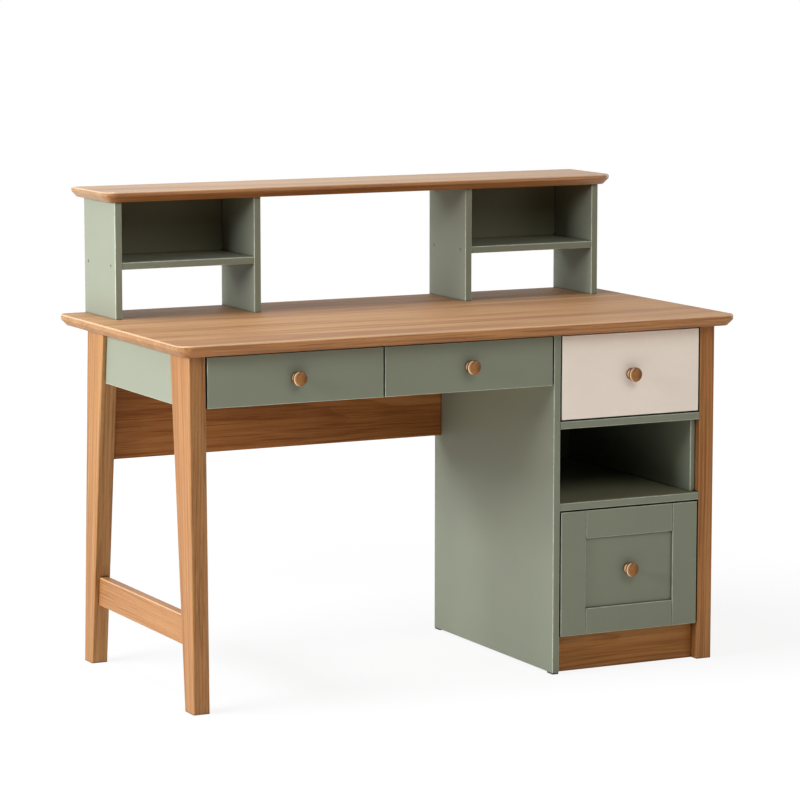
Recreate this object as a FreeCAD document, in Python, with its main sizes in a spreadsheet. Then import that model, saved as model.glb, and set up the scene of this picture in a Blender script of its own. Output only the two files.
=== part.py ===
import FreeCAD, Part
import os
import Sketcher

# Student desk with hutch. Millimetres; X runs along the desk, -Y is the sitter's side, +Z is up.
# The origin is on the floor under the middle of the worktop.

DIMENSIONS = (
    # worktop
    ("desk_height", 750.0, "floor to the top of the worktop"),
    ("worktop_width", 1290.0, "worktop, left to right"),
    ("worktop_depth", 670.0, "worktop, front to back"),
    ("worktop_thickness", 24.0, "worktop board"),
    ("front_corner_radius", 30.0, "plan radius of the two front corners of worktop and hutch top"),
    ("worktop_back_radius", 22.0, "plan radius of the two back corners of the worktop"),
    ("edge_bevel", 13.0, "bevel under the edges of worktop and hutch top"),
    ("edge_round", 3.0, "round on the upper edges of worktop and hutch top"),
    ("bevel_round", 3.0, "round where the bevel meets the nose and the underside"),
    ("front_overhang", 40.0, "worktop past the front of the frame"),
    ("back_overhang", 84.0, "worktop past the back of the frame"),
    ("side_overhang", 34.0, "worktop past the legs at each side"),
    # legs and rails
    ("leg_thickness", 36.0, "legs and posts, left to right"),
    ("leg_round", 3.0, "round on the long edges of legs and posts"),
    ("front_leg_head", 98.0, "front left leg, depth at the worktop"),
    ("front_leg_foot", 45.0, "front left leg, depth at the floor"),
    ("front_leg_rake", 9.5, "front left foot ahead of the frame's front"),
    ("back_leg_head", 88.0, "back left leg, depth at the worktop"),
    ("back_leg_foot", 43.0, "back left leg, depth at the floor"),
    ("back_leg_rake", 40.0, "back left foot behind the frame's back"),
    ("post_depth", 36.0, "right posts, front to back"),
    ("stretcher_height", 62.0, "left stretcher"),
    ("stretcher_thickness", 22.0, "left stretcher"),
    ("stretcher_inset", 11.0, "stretcher behind the legs' outer face"),
    ("stretcher_lift", 129.0, "floor to the stretcher's lower edge"),
    ("left_apron_height", 111.0, "panel between the left legs"),
    ("left_apron_inset", 10.0, "left apron behind the legs' outer face"),
    ("batten_height", 40.0, "strip that packs out the left runner"),
    ("back_apron_height", 281.0, "modesty board under the worktop"),
    ("back_apron_thickness", 18.0, "modesty board"),
    ("back_apron_setback", 15.0, "modesty board ahead of the frame's back"),
    # pedestal
    ("panel_thickness", 16.0, "pedestal side, shelves, aprons and hutch sides"),
    ("panel_round", 2.0, "round on the edges of painted boards"),
    ("pedestal_width", 393.0, "pedestal's left face to the right posts' outer face"),
    ("right_side_thickness", 12.0, "pedestal's right side board"),
    ("pedestal_back_thickness", 9.0, "pedestal's back board"),
    ("lower_shelf_lift", 349.5, "floor to the lower shelf's underside"),
    ("upper_shelf_lift", 523.5, "floor to the upper shelf's underside"),
    ("kick_height", 76.0, "board under the deep drawer"),
    ("kick_setback", 23.0, "kick board behind the frame's front"),
    ("glide_height", 3.5, "plastic glides under the pedestal's left side"),
    ("glide_width", 14.0, "glide, left to right"),
    ("glide_length", 24.0, "glide, front to back"),
    ("glide_inset", 1.0, "glide from the ends of the side board"),
    # drawer fronts and boxes
    ("front_thickness", 15.0, "drawer fronts"),
    ("front_round", 1.5, "round on the front edges of drawer fronts"),
    ("front_gap", 3.5, "gap round the drawer fronts"),
    ("front_head_gap", 5.0, "gap between the upper fronts and the worktop"),
    ("front_relief", 1.0, "drawer front's back to the boards behind it"),
    ("pencil_front_height", 103.5, "front of the two shallow drawers"),
    ("divider_height", 100.0, "board between the two shallow drawers"),
    ("box_thickness", 12.0, "sides and backs of the drawer boxes"),
    ("box_lift", 12.0, "drawer box above the front's lower edge"),
    ("bottom_thickness", 5.0, "drawer bottoms"),
    ("groove_lift", 10.0, "bottom's groove above the box's lower edge"),
    ("groove_depth", 5.0, "groove in box sides and fronts"),
    ("groove_clearance", 0.3, "play of the bottom in its grooves"),
    ("pencil_box_drop", 17.5, "shallow drawer boxes below the top of their fronts"),
    ("upper_box_drop", 26.0, "upper pedestal drawer's box below the top of its front"),
    ("deep_box_drop", 39.5, "deep drawer's box below the top of its front"),
    ("pencil_box_end_gap", 78.0, "shallow drawer boxes to the modesty board"),
    ("pedestal_box_end_gap", 62.0, "pedestal drawer boxes to the pedestal's back"),
    # framed front of the deep drawer
    ("frame_bar_width", 60.0, "stiles and upper rail"),
    ("lower_rail_height", 56.0, "lower rail"),
    ("panel_recess", 6.0, "panel behind the frame's face"),
    ("rebate_width", 8.0, "rebate that holds the panel"),
    ("rebate_play", 0.3, "panel's play at each edge of its rebate"),
    ("joint_gap", 0.8, "open joint between stiles and rails"),
    # runners
    ("runner_space", 12.7, "width taken by a runner at each side of a drawer"),
    ("runner_wall", 1.5, "steel of the runner members"),
    ("runner_play", 0.3, "running play between nested members"),
    ("runner_setback", 5.0, "runners behind the drawer front"),
    ("cabinet_member_depth", 9.0, "cabinet member, out from its wall"),
    ("web_play", 0.7, "play between the webs of nested members"),
    ("pencil_runner_height", 35.0, "cabinet member of the shallow drawers"),
    ("pencil_runner_end_gap", 15.0, "shallow drawers' runners ahead of the box's back end"),
    ("pedestal_runner_height", 45.0, "cabinet member of the pedestal drawers"),
    ("pedestal_runner_end_gap", 5.0, "pedestal drawers' runners ahead of the box's back end"),
    # knobs
    ("knob_base_radius", 12.0, "knob's foot"),
    ("knob_base_height", 2.5, "cylindrical part of the knob's foot"),
    ("knob_head_radius", 15.5, "knob's rim"),
    ("knob_rim_start", 15.0, "front to the underside of the knob's rim"),
    ("knob_rim_thickness", 5.5, "knob's rim, front to back"),
    ("knob_dome_height", 3.5, "knob's rim to its top"),
    ("knob_neck_radius", 6.5, "narrowest part of the knob's neck"),
    ("knob_rim_round", 2.8, "round on the rim's front edge"),
    ("knob_lip_round", 0.8, "round on the rim's back edge"),
    ("knob_bore_depth", 13.0, "threaded insert in the knob"),
    ("screw_radius", 2.0, "knob screw's shank"),
    ("screw_clearance", 0.3, "screw hole in fronts, beyond the shank"),
    ("screw_thread_play", 0.05, "bore in the knob, beyond the shank"),
    ("screw_head_radius", 4.0, "knob screw's head"),
    ("screw_head_height", 2.5, "knob screw's head"),
    ("screw_bite", 11.0, "length of knob screw inside the knob"),
    # hutch
    ("hutch_height", 270.0, "worktop to the top of the hutch"),
    ("hutch_side_inset", 62.5, "hutch's outer sides in from the worktop's ends"),
    ("cubby_width", 335.5, "one cubby, outer face to outer face"),
    ("hutch_depth", 175.0, "hutch sides, front to back"),
    ("hutch_top_thickness", 22.0, "hutch top board"),
    ("hutch_top_side_overhang", 28.0, "hutch top past the outer sides"),
    ("hutch_top_front_overhang", 21.5, "hutch top past the sides' front"),
    ("hutch_shelf_lift", 105.0, "worktop to the shelf's underside"),
    ("hutch_shelf_thickness", 15.0, "hutch shelves"),
    ("hutch_shelf_inset", 1.0, "shelf behind the sides' front edges"),
    ("hutch_back_thickness", 6.0, "backs of the two cubbies"),
    ("hutch_back_inset", 2.0, "backs and shelves ahead of the sides' back edges"),
    ("shelf_screw_setback", 24.0, "shelf screws from the sides' front and back edges"),
    ("shelf_screw_radius", 2.0, "shelf screw's shank"),
    ("shelf_screw_head_radius", 3.0, "shelf screw's head"),
    ("shelf_screw_head_height", 3.0, "shelf screw's head"),
    ("shelf_screw_length", 40.0, "shelf screw, with its head"),
    ("shelf_screw_sink", 0.4, "shelf screw's head below the face"),
    ("shelf_screw_play", 0.1, "holes round the shelf screws"),
)

# Places that several pieces share, as expressions on the sheet.
UNDERSIDE = "(Dims.desk_height - Dims.worktop_thickness)"
FRONT = "(Dims.front_overhang - Dims.worktop_depth / 2)"
BACK = "(Dims.worktop_depth / 2 - Dims.back_overhang)"
FRAME_DEPTH = "(Dims.worktop_depth - Dims.front_overhang - Dims.back_overhang)"
LEG_OUT = "(Dims.worktop_width / 2 - Dims.side_overhang)"
LEG_IN = "(%s - Dims.leg_thickness)" % LEG_OUT
PEDESTAL_LEFT = "(%s - Dims.pedestal_width)" % LEG_OUT
BAY_LEFT = "(%s + Dims.panel_thickness)" % PEDESTAL_LEFT
BAY_RIGHT = "(%s - Dims.right_side_thickness)" % LEG_IN
PEDESTAL_BACK_FACE = "(%s - Dims.pedestal_back_thickness)" % BACK
APRON_FACE = "(%s - Dims.back_apron_setback - Dims.back_apron_thickness)" % BACK
FRONT_BACK = "(%s + Dims.front_thickness)" % FRONT
BEHIND_FRONTS = "(%s + Dims.front_relief)" % FRONT_BACK
FRONTS_TOP = "(%s - Dims.front_head_gap)" % UNDERSIDE
KICK_BACK = "(%s + Dims.kick_setback + Dims.panel_thickness)" % FRONT
DIVIDER_MIDDLE = "((%s - %s) / 2)" % (PEDESTAL_LEFT, LEG_IN)
DIVIDER_LEFT = "(%s - Dims.panel_thickness / 2)" % DIVIDER_MIDDLE
DIVIDER_RIGHT = "(%s + Dims.panel_thickness / 2)" % DIVIDER_MIDDLE
UPPER_SHELF_TOP = "(Dims.upper_shelf_lift + Dims.panel_thickness)"
HUTCH_BACK_FACE = "(Dims.worktop_depth / 2)"
HUTCH_FRONT_FACE = "(%s - Dims.hutch_depth)" % HUTCH_BACK_FACE
HUTCH_SIDE_HEIGHT = "(Dims.hutch_height - Dims.hutch_top_thickness)"
HUTCH_SHELF_LOW = "(Dims.desk_height + Dims.hutch_shelf_lift)"
HUTCH_HALF = "(Dims.worktop_width / 2 - Dims.hutch_side_inset)"
CUBBY_MIDDLE = "(%s - Dims.cubby_width / 2)" % HUTCH_HALF
CUBBY_INSIDE = "(Dims.cubby_width - 2 * Dims.panel_thickness)"
SCREW_PLACES = ("(%s + Dims.shelf_screw_setback)" % HUTCH_FRONT_FACE,
                "(%s - Dims.shelf_screw_setback)" % HUTCH_BACK_FACE)
SHELF_SCREW_BORE = "(Dims.shelf_screw_radius + Dims.shelf_screw_play)"
RUNNER_START = "(%s + Dims.runner_setback)" % FRONT_BACK
GROOVE_HEIGHT = "(Dims.bottom_thickness + Dims.groove_clearance)"

# An edge that reaches no further than this along an axis lies square to it.
FLAT = 0.01

doc = FreeCAD.newDocument("StudentDesk")
subparts = []


def fill_sheet():
    """The sheet of driving dimensions."""
    sheet = doc.addObject("Spreadsheet::Sheet", "Dims")
    for row, (alias, value, meaning) in enumerate(DIMENSIONS, start=1):
        sheet.set("A%d" % row, str(value))
        sheet.set("B%d" % row, meaning)
        sheet.setAlias("A%d" % row, alias)
    doc.recompute()
    return sheet


sheet = fill_sheet()


def number(expression):
    """The present value of an expression on the sheet."""
    return float(sheet.evalExpression(str(expression)))


def new_body(label, low=("0", "0", "0")):
    """An empty sub-part whose own origin is at the point low."""
    body = doc.addObject("PartDesign::Body", label)
    body.Label = label
    body.AllowCompound = True
    for axis, place in zip("xyz", low):
        body.setExpression("Placement.Base." + axis, place)
    subparts.append(body)
    return body


def origin_part(body, role):
    """One of the body's own origin planes or axes."""
    return next(f for f in body.Origin.OriginFeatures if f.Role == role)


def new_sketch(body, role, offset=None):
    """A sketch on one of the body's origin planes, or parallel to it at an offset along its normal."""
    sketch = body.newObject("Sketcher::SketchObject", body.Label + "_sketch")
    sketch.AttachmentSupport = (origin_part(body, role), [""])
    sketch.MapMode = "FlatFace"
    if offset:
        sketch.setExpression("AttachmentOffset.Base.z", offset)
    return sketch


def pin_point(sketch, geometry, end, corner):
    """Ties a point of the sketch to its two coordinates."""
    for kind, on_axis, value in (("DistanceX", -2, corner[0]), ("DistanceY", -1, corner[1])):
        if value == "0":
            sketch.addConstraint(Sketcher.Constraint("PointOnObject", geometry, end, on_axis))
            continue
        constraint = Sketcher.Constraint(kind, -1, 1, geometry, end, number(value))
        index = sketch.addConstraint(constraint)
        sketch.setExpression("Constraints[%d]" % index, value)


def draw_loop(sketch, corners):
    """A closed outline of straight lines through the corners."""
    points = [FreeCAD.Vector(number(x), number(y), 0) for x, y in corners]
    first = sketch.GeometryCount
    count = len(points)
    for i in range(count):
        sketch.addGeometry(Part.LineSegment(points[i], points[(i + 1) % count]), False)
    for i in range(count):
        joined = first + (i + 1) % count
        sketch.addConstraint(Sketcher.Constraint("Coincident", first + i, 2, joined, 1))
    for i, corner in enumerate(corners):
        pin_point(sketch, first + i, 1, corner)


def draw_circle(sketch, centre, radius):
    """A circle of a radius about a centre."""
    middle = FreeCAD.Vector(number(centre[0]), number(centre[1]), 0)
    circle = Part.Circle(middle, FreeCAD.Vector(0, 0, 1), number(radius))
    geometry = sketch.addGeometry(circle, False)
    pin_point(sketch, geometry, 3, centre)
    index = sketch.addConstraint(Sketcher.Constraint("Radius", geometry, number(radius)))
    sketch.setExpression("Constraints[%d]" % index, radius)


def box_corners(x, y, width, height):
    """The corners of a rectangle from its lower left corner."""
    right = "(%s + %s)" % (x, width)
    top = "(%s + %s)" % (y, height)
    return [(x, y), (right, y), (right, top), (x, top)]


def add_pad(body, sketch, length, backwards=False):
    """Raises the sketch by a length."""
    pad = body.newObject("PartDesign::Pad", body.Label + "_pad")
    pad.Profile = sketch
    pad.Reversed = backwards
    pad.setExpression("Length", length)
    doc.recompute()
    return pad


def add_pocket(body, sketch, length, backwards=False):
    """Cuts the sketch into the body by a length."""
    before = body.Shape.Volume
    pocket = body.newObject("PartDesign::Pocket", body.Label + "_pocket")
    pocket.Profile = sketch
    pocket.Reversed = backwards
    pocket.setExpression("Length", length)
    doc.recompute()
    if not body.Shape.Volume < before:
        raise ValueError("pocket cuts nothing in " + body.Label)
    return pocket


def edges_where(feature, test):
    """The names of the feature's edges whose bounding box passes a test."""
    return ["Edge%d" % i for i, edge in enumerate(feature.Shape.Edges, start=1) if test(edge.BoundBox)]


def add_fillet(body, feature, names, radius):
    """Rounds the named edges."""
    fillet = body.newObject("PartDesign::Fillet", body.Label + "_fillet")
    fillet.Base = (feature, names)
    fillet.setExpression("Radius", radius)
    doc.recompute()
    return fillet


def round_along(body, feature, axis, radius):
    """Rounds the edges that run from end to end of a feature along an axis, X, Y or Z."""
    extent = axis + "Length"
    half = getattr(feature.Shape.BoundBox, extent) / 2
    names = edges_where(feature, lambda box: getattr(box, extent) > half)
    return add_fillet(body, feature, names, radius)


def mirror_body(body, role):
    """Adds the body's mirror image across one of its origin planes."""
    mirror = body.newObject("PartDesign::Mirrored", body.Label + "_mirror")
    mirror.TransformMode = "Whole shape"
    mirror.MirrorPlane = (origin_part(body, role), [""])
    body.Tip = mirror
    doc.recompute()


def repeat_body(body, role, length):
    """Adds a second copy of the body at a distance along one of its origin axes."""
    pattern = body.newObject("PartDesign::LinearPattern", body.Label + "_pattern")
    pattern.TransformMode = "Whole shape"
    pattern.Direction = (origin_part(body, role), [""])
    pattern.setExpression("Length", length)
    pattern.Occurrences = 2
    body.Tip = pattern
    doc.recompute()


def make_board(label, low, size, rounded_along=None):
    """A board from its lower corner and its three edges, those along one axis rounded."""
    body = new_body(label, low)
    sketch = new_sketch(body, "XY_Plane")
    draw_loop(sketch, box_corners("0", "0", size[0], size[1]))
    pad = add_pad(body, sketch, size[2])
    if rounded_along:
        round_along(body, pad, rounded_along, "Dims.panel_round")
    return body


def make_edged_top(label, low, size, back_radius=None):
    """A top board, rounded above and bevelled below. The bevel runs round the back if that has a radius."""
    body = new_body(label, low)
    sketch = new_sketch(body, "XY_Plane")
    draw_loop(sketch, box_corners("0", "0", size[0], size[1]))
    pad = add_pad(body, sketch, size[2])
    back = number(size[1])
    top = number(size[2])
    nose = number("Dims.edge_bevel")
    front = edges_where(pad, lambda box: box.ZLength > FLAT and box.YMax < FLAT)
    board = add_fillet(body, pad, front, "Dims.front_corner_radius")
    if back_radius:
        behind = edges_where(board, lambda box: box.ZLength > FLAT and box.YMin > back - FLAT)
        board = add_fillet(body, board, behind, back_radius)

    def runs_round(box):
        return box.ZLength < FLAT and (back_radius is not None or box.YMin < back - FLAT)

    bevel = body.newObject("PartDesign::Chamfer", label + "_bevel")
    bevel.Base = (board, edges_where(board, lambda box: runs_round(box) and box.ZMax < FLAT))
    bevel.setExpression("Size", "Dims.edge_bevel")
    doc.recompute()
    arris = edges_where(bevel, lambda box: runs_round(box) and min(box.ZMax, abs(box.ZMax - nose)) < FLAT)
    board = add_fillet(body, bevel, arris, "Dims.bevel_round")
    upper = edges_where(board, lambda box: box.ZMin > top - FLAT)
    add_fillet(body, board, upper, "Dims.edge_round")


def make_worktop():
    """The worktop, centred on the origin."""
    low = ("(-Dims.worktop_width / 2)", "(-Dims.worktop_depth / 2)", UNDERSIDE)
    size = ("Dims.worktop_width", "Dims.worktop_depth", "Dims.worktop_thickness")
    make_edged_top("worktop", low, size, "Dims.worktop_back_radius")


def leg_edge(foot, head, height):
    """Where a leg's slanting edge is at a height."""
    return "(%s + (%s - %s) * %s / %s)" % (foot, head, foot, height, UNDERSIDE)


FRONT_FOOT = "(%s - Dims.front_leg_rake)" % FRONT
FRONT_FOOT_END = "(%s + Dims.front_leg_foot)" % FRONT_FOOT
FRONT_HEAD_END = "(%s + Dims.front_leg_head)" % FRONT
BACK_FOOT_END = "(%s + Dims.back_leg_rake)" % BACK
BACK_FOOT = "(%s - Dims.back_leg_foot)" % BACK_FOOT_END
BACK_HEAD = "(%s - Dims.back_leg_head)" % BACK


def make_left_leg(label, foot, foot_end, head, head_end):
    """A tapered leg, wide at its head."""
    body = new_body(label, ("(-%s)" % LEG_OUT, "0", "0"))
    sketch = new_sketch(body, "YZ_Plane")
    draw_loop(sketch, [(foot, "0"), (foot_end, "0"), (head_end, UNDERSIDE), (head, UNDERSIDE)])
    pad = add_pad(body, sketch, "Dims.leg_thickness")
    round_along(body, pad, "Z", "Dims.leg_round")


def make_between_left_legs(label, inset, thickness, low, high, rounding=None):
    """A board between the two left legs, its ends cut to their slant."""
    body = new_body(label, ("(-%s + %s)" % (LEG_OUT, inset), "0", "0"))
    sketch = new_sketch(body, "YZ_Plane")
    draw_loop(sketch, [
        (leg_edge(FRONT_FOOT_END, FRONT_HEAD_END, low), low),
        (leg_edge(BACK_FOOT, BACK_HEAD, low), low),
        (leg_edge(BACK_FOOT, BACK_HEAD, high), high),
        (leg_edge(FRONT_FOOT_END, FRONT_HEAD_END, high), high),
    ])
    pad = add_pad(body, sketch, thickness)
    if rounding:
        round_along(body, pad, "Y", rounding)


def make_left_frame():
    """The two left legs and what joins them."""
    make_left_leg("left_front_leg", FRONT_FOOT, FRONT_FOOT_END, FRONT, FRONT_HEAD_END)
    make_left_leg("left_back_leg", BACK_FOOT, BACK_FOOT_END, BACK_HEAD, BACK)
    stretcher_top = "(Dims.stretcher_lift + Dims.stretcher_height)"
    make_between_left_legs("left_stretcher", "Dims.stretcher_inset", "Dims.stretcher_thickness",
                           "Dims.stretcher_lift", stretcher_top, "Dims.leg_round")
    apron_low = "(%s - Dims.left_apron_height)" % UNDERSIDE
    make_between_left_legs("left_apron", "Dims.left_apron_inset", "Dims.panel_thickness",
                           apron_low, UNDERSIDE, "Dims.panel_round")
    batten_inset = "(Dims.left_apron_inset + Dims.panel_thickness)"
    batten_thickness = "(Dims.leg_thickness - %s)" % batten_inset
    runner_middle = PENCIL["runner_middle"]
    make_between_left_legs("left_runner_batten", batten_inset, batten_thickness,
                           "(%s - Dims.batten_height / 2)" % runner_middle,
                           "(%s + Dims.batten_height / 2)" % runner_middle)


def make_back_apron():
    """The modesty board between the back left leg and the pedestal."""
    low = ("(-%s)" % LEG_IN, APRON_FACE, "(%s - Dims.back_apron_height)" % UNDERSIDE)
    size = ("(%s + %s)" % (LEG_IN, PEDESTAL_LEFT), "Dims.back_apron_thickness", "Dims.back_apron_height")
    make_board("back_apron", low, size, "X")


def make_divider():
    """The board between the two shallow drawers, under the worktop."""
    low = (DIVIDER_LEFT, BEHIND_FRONTS, "(%s - Dims.divider_height)" % UNDERSIDE)
    size = ("Dims.panel_thickness", "(%s - %s)" % (APRON_FACE, BEHIND_FRONTS), "Dims.divider_height")
    make_board("drawer_divider", low, size)


def make_right_post(label, start):
    """A square post at the pedestal's outer side."""
    body = new_body(label, (LEG_IN, start, "0"))
    sketch = new_sketch(body, "XY_Plane")
    draw_loop(sketch, box_corners("0", "0", "Dims.leg_thickness", "Dims.post_depth"))
    pad = add_pad(body, sketch, UNDERSIDE)
    round_along(body, pad, "Z", "Dims.leg_round")


def make_pedestal_right_side():
    """The right side board, notched round the kick board."""
    body = new_body("pedestal_right_side", (BAY_RIGHT, "0", "0"))
    sketch = new_sketch(body, "YZ_Plane")
    draw_loop(sketch, [
        (KICK_BACK, "Dims.glide_height"),
        (BACK, "Dims.glide_height"),
        (BACK, UNDERSIDE),
        (BEHIND_FRONTS, UNDERSIDE),
        (BEHIND_FRONTS, "Dims.kick_height"),
        (KICK_BACK, "Dims.kick_height"),
    ])
    pad = add_pad(body, sketch, "Dims.right_side_thickness")
    front = number(BEHIND_FRONTS)
    upright = edges_where(pad, lambda box: box.YMax < front + FLAT and box.ZLength > FLAT)
    add_fillet(body, pad, upright, "Dims.panel_round")


def make_pedestal_shelf(label, lift):
    """A pedestal shelf, its front strip running past the right side board to the post."""
    body = new_body(label, (BAY_LEFT, FRONT, lift))
    sketch = new_sketch(body, "XY_Plane")
    wide = "(%s - %s)" % (LEG_IN, BAY_LEFT)
    narrow = "(%s - %s)" % (BAY_RIGHT, BAY_LEFT)
    deep = "(%s - %s)" % (PEDESTAL_BACK_FACE, FRONT)
    strip = "(Dims.front_thickness + Dims.front_relief)"
    draw_loop(sketch, [
        ("0", "0"),
        (wide, "0"),
        (wide, strip),
        (narrow, strip),
        (narrow, deep),
        ("0", deep),
    ])
    pad = add_pad(body, sketch, "Dims.panel_thickness")
    along_front = edges_where(pad, lambda box: box.YMax < FLAT and box.ZLength < FLAT)
    add_fillet(body, pad, along_front, "Dims.panel_round")


def make_foot_glides():
    """Two plastic glides under the pedestal's left side."""
    inset = "((Dims.panel_thickness - Dims.glide_width) / 2)"
    low = ("(%s + %s)" % (PEDESTAL_LEFT, inset), "(%s + Dims.glide_inset)" % FRONT, "0")
    size = ("Dims.glide_width", "Dims.glide_length", "Dims.glide_height")
    body = make_board("foot_glides", low, size)
    repeat_body(body, "Y_Axis", "(%s - 2 * Dims.glide_inset - Dims.glide_length)" % FRAME_DEPTH)


def make_pedestal():
    """The drawer pedestal under the right end."""
    side_height = "(%s - Dims.glide_height)" % UNDERSIDE
    make_board("pedestal_left_side", (PEDESTAL_LEFT, FRONT, "Dims.glide_height"),
               ("Dims.panel_thickness", FRAME_DEPTH, side_height), "Z")
    make_pedestal_right_side()
    make_right_post("right_front_post", FRONT)
    make_right_post("right_back_post", "(%s - Dims.post_depth)" % BACK)
    make_pedestal_shelf("pedestal_upper_shelf", "Dims.upper_shelf_lift")
    make_pedestal_shelf("pedestal_lower_shelf", "Dims.lower_shelf_lift")
    make_board("kick_board", (BAY_LEFT, "(%s + Dims.kick_setback)" % FRONT, "0"),
               ("(%s - %s)" % (LEG_IN, BAY_LEFT), "Dims.panel_thickness", "Dims.kick_height"))
    bay_width = "(%s - %s)" % (BAY_RIGHT, BAY_LEFT)
    floor_low = "(Dims.kick_height - Dims.panel_thickness)"
    make_board("pedestal_floor", (BAY_LEFT, KICK_BACK, floor_low),
               (bay_width, "(%s - %s)" % (PEDESTAL_BACK_FACE, KICK_BACK), "Dims.panel_thickness"))
    make_board("pedestal_back", (BAY_LEFT, PEDESTAL_BACK_FACE, floor_low),
               (bay_width, "Dims.pedestal_back_thickness", "(%s - %s)" % (UNDERSIDE, floor_low)))
    make_foot_glides()


def drawer_plan(wall_left, wall_right, front_left, front_right, low, high, drop, kind, wall_behind):
    """The places that the pieces of one drawer share."""
    box_low = "(%s + Dims.box_lift)" % low
    box_height = "(%s - %s - %s)" % (high, drop, box_low)
    box_depth = "(%s - Dims.%s_box_end_gap - %s)" % (wall_behind, kind, FRONT_BACK)
    return {
        "wall_left": wall_left,
        "wall_right": wall_right,
        "middle": "((%s + %s) / 2)" % (wall_left, wall_right),
        "half_box": "((%s - %s) / 2 - Dims.runner_space)" % (wall_right, wall_left),
        "half_bay": "((%s - %s) / 2)" % (wall_right, wall_left),
        "front_left": front_left,
        "front_width": "(%s - %s)" % (front_right, front_left),
        "front_middle": "((%s + %s) / 2)" % (front_left, front_right),
        "low": low,
        "front_height": "(%s - %s)" % (high, low),
        "centre_height": "((%s + %s) / 2)" % (low, high),
        "box_low": box_low,
        "box_height": box_height,
        "box_depth": box_depth,
        "runner_height": "Dims.%s_runner_height" % kind,
        "runner_length": "(%s - Dims.runner_setback - Dims.%s_runner_end_gap)" % (box_depth, kind),
        "runner_middle": "(%s + %s / 2)" % (box_low, box_height),
    }


PENCIL_LOW = "(%s - Dims.pencil_front_height)" % FRONTS_TOP
PENCIL = drawer_plan("(-%s)" % LEG_IN, DIVIDER_LEFT,
                     "(-%s + Dims.front_gap)" % LEG_IN, "(%s - Dims.front_gap / 2)" % DIVIDER_MIDDLE,
                     PENCIL_LOW, FRONTS_TOP, "Dims.pencil_box_drop", "pencil", APRON_FACE)
RIGHT_PENCIL = drawer_plan(DIVIDER_RIGHT, PEDESTAL_LEFT,
                           "(%s + Dims.front_gap / 2)" % DIVIDER_MIDDLE,
                           "(%s - Dims.front_gap)" % PEDESTAL_LEFT,
                           PENCIL_LOW, FRONTS_TOP, "Dims.pencil_box_drop", "pencil", APRON_FACE)
BAY_FRONT_LEFT = "(%s + Dims.front_gap)" % BAY_LEFT
BAY_FRONT_RIGHT = "(%s - Dims.front_gap)" % LEG_IN
UPPER = drawer_plan(BAY_LEFT, BAY_RIGHT, BAY_FRONT_LEFT, BAY_FRONT_RIGHT,
                    "(%s + Dims.front_gap)" % UPPER_SHELF_TOP, FRONTS_TOP,
                    "Dims.upper_box_drop", "pedestal", PEDESTAL_BACK_FACE)
DEEP = drawer_plan(BAY_LEFT, BAY_RIGHT, BAY_FRONT_LEFT, BAY_FRONT_RIGHT,
                   "(Dims.kick_height + Dims.front_gap)", "(Dims.lower_shelf_lift - Dims.front_gap)",
                   "Dims.deep_box_drop", "pedestal", PEDESTAL_BACK_FACE)
DRAWERS = {"left_pencil": PENCIL, "right_pencil": RIGHT_PENCIL, "upper_drawer": UPPER, "deep_drawer": DEEP}


def channel_corners(wall, way, middle, height, depth):
    """The section of a runner member: a channel with its web on a wall plane, open one way."""
    low = "(%s - %s / 2)" % (middle, height)
    high = "(%s + %s / 2)" % (middle, height)
    lip = "(%s %s %s)" % (wall, way, depth)
    web = "(%s %s Dims.runner_wall)" % (wall, way)
    low_inside = "(%s + Dims.runner_wall)" % low
    high_inside = "(%s - Dims.runner_wall)" % high
    return [(wall, low), (lip, low), (lip, low_inside), (web, low_inside),
            (web, high_inside), (lip, high_inside), (lip, high), (wall, high)]


def make_cabinet_runners():
    """The fixed members of all the runners, one at each side of each drawer."""
    body = new_body("cabinet_runners", ("0", RUNNER_START, "0"))
    for plans in ((PENCIL, RIGHT_PENCIL), (UPPER, DEEP)):
        sketch = new_sketch(body, "XZ_Plane")
        for plan in plans:
            for wall, way in ((plan["wall_left"], "+"), (plan["wall_right"], "-")):
                draw_loop(sketch, channel_corners(wall, way, plan["runner_middle"], plan["runner_height"],
                                                  "Dims.cabinet_member_depth"))
        add_pad(body, sketch, plans[0]["runner_length"], backwards=True)


def nested_height(plan, levels):
    """The height of a runner member that runs inside others."""
    return "(%s - %d * 2 * (Dims.runner_wall + Dims.runner_play))" % (plan["runner_height"], levels)


def make_middle_members(name, plan):
    """The two sliding members between cabinet and drawer, which make the runner extend fully."""
    body = new_body(name + "_middle_runners", (plan["middle"], RUNNER_START, plan["runner_middle"]))
    sketch = new_sketch(body, "XZ_Plane")
    gap = "(Dims.runner_wall + Dims.web_play)"
    wall = "(-%s + %s)" % (plan["half_bay"], gap)
    depth = "(Dims.runner_space - %s - Dims.runner_wall - Dims.web_play)" % gap
    draw_loop(sketch, channel_corners(wall, "+", "0", nested_height(plan, 1), depth))
    add_pad(body, sketch, plan["runner_length"], backwards=True)
    mirror_body(body, "YZ_Plane")


def make_drawer_members(name, plan, levels):
    """The two runner members fixed to the drawer's sides."""
    body = new_body(name + "_runners", (plan["middle"], RUNNER_START, plan["runner_middle"]))
    sketch = new_sketch(body, "XZ_Plane")
    wall = "(-%s)" % plan["half_box"]
    depth = "(Dims.runner_space - %d * (Dims.runner_wall + Dims.web_play))" % levels
    draw_loop(sketch, channel_corners(wall, "-", "0", nested_height(plan, levels), depth))
    add_pad(body, sketch, plan["runner_length"], backwards=True)
    mirror_body(body, "YZ_Plane")


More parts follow.
